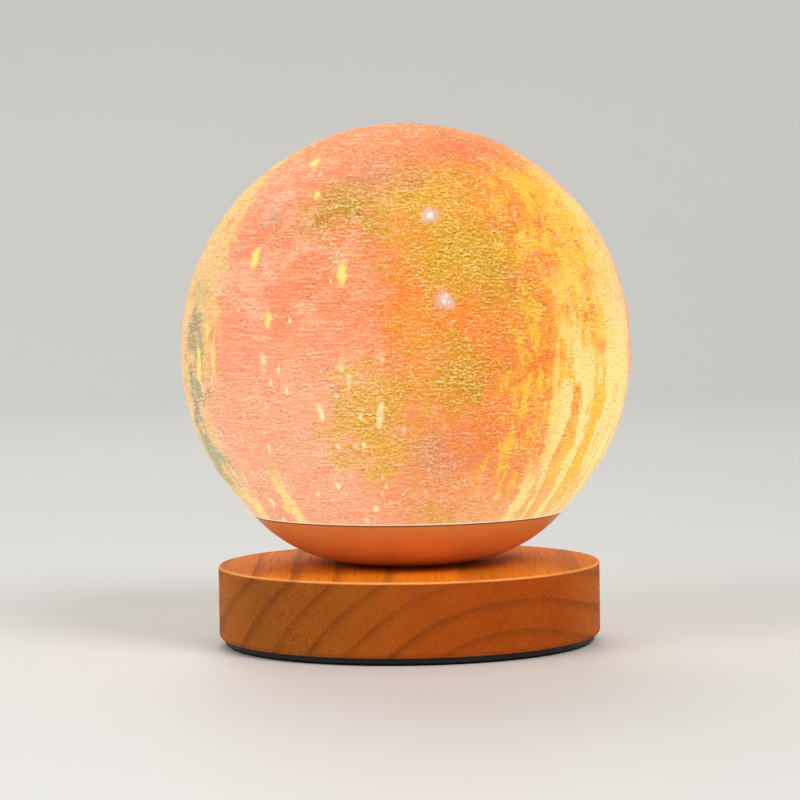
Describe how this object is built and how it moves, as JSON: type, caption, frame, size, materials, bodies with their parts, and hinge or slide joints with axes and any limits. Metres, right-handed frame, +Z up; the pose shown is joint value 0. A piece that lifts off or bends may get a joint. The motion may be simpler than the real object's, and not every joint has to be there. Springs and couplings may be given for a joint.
{
  "type": "planet lamp",
  "caption": "Planet lamp: a printed globe lit from inside, on a shallow dish that turns on, and lifts off, a round wooden base with a charging port and button at the back.",
  "frame": {"origin": "on the table under the middle of the base, at the underside of the foot pad", "axes": "+Z up, along the axis the globe turns about and lifts along; +Y to the back, where the port and button are"},
  "size_m": [0.15, 0.15, 0.1729],
  "materials": {
    "printed_shell": "printed in fine layers, painted, lit from inside",
    "satin_copper": "smooth satin",
    "white_plastic": "matt moulded",
    "black_plastic": "fine moulded texture",
    "pine": "turned, sanded, clear matt oil",
    "black_rubber": "matt",
    "steel": "zinc plated",
    "aluminium": "turned",
    "brass": "nickel free, turned",
    "circuit_board": "solder mask",
    "white_board": "white solder mask",
    "lamp_chip": "phosphor window",
    "component": "moulded",
    "magnet": "sintered",
    "nylon": "smooth, slippery",
    "foil": "laminated foil pouch",
    "foam": "soft foam",
    "lead": "soft insulation",
    "clear_plastic": "frosted clear",
    "plated_steel": "nickel plated"
  },
  "bodies": {
    "base": {"wood_base": "pine", "bottom_cover": "black_plastic", "cover_screws": "steel", "foot_pad": "black_rubber", "dock_bush": "black_plastic", "dock_barrel": "brass", "dock_core": "black_plastic", "dock_nut": "brass", "ring_magnet": "magnet", "magnet_plate": "steel", "dock_leads": "lead", "control_board": "circuit_board", "board_parts": "component", "board_screws": "steel", "usb_socket": "plated_steel", "switch_body": "component", "rear_bezel": "black_plastic", "bezel_screws": "steel", "charge_lens": "clear_plastic", "battery": "foil", "battery_tape": "foam", "battery_strap": "black_plastic", "strap_screws": "steel", "battery_leads": "lead"},
    "button": {"power_button": "black_plastic", "switch_plunger": "component"},
    "glide": {"glide_ring": "nylon"},
    "globe": {"globe_shell": "printed_shell", "dish": "satin_copper", "deck": "white_plastic", "deck_screws": "steel", "led_post": "aluminium", "post_screws": "steel", "led_board": "white_board", "leds": "lamp_chip", "led_screws": "steel", "led_leads": "lead", "jack_board": "circuit_board", "jack_screws": "steel", "power_jack": "black_plastic", "jack_pin": "brass", "keeper_ring": "steel"}
  },
  "joints": [
    {"name": "globe_turn", "type": "hinge", "parent": "base", "child": "glide", "pos_m": [0, 0, 0.0266], "axis": [0, 0, 1], "continuous": true},
    {"name": "globe_lift", "type": "slide", "parent": "glide", "child": "globe", "axis": [0, 0, 1], "range_m": [0, 0.06]},
    {"name": "button_press", "type": "slide", "parent": "base", "child": "button", "axis": [0, -1, 0], "range_m": [0, 0.0006], "stiffness_N_per_m": 400, "springref_m": -0.002}
  ]
}
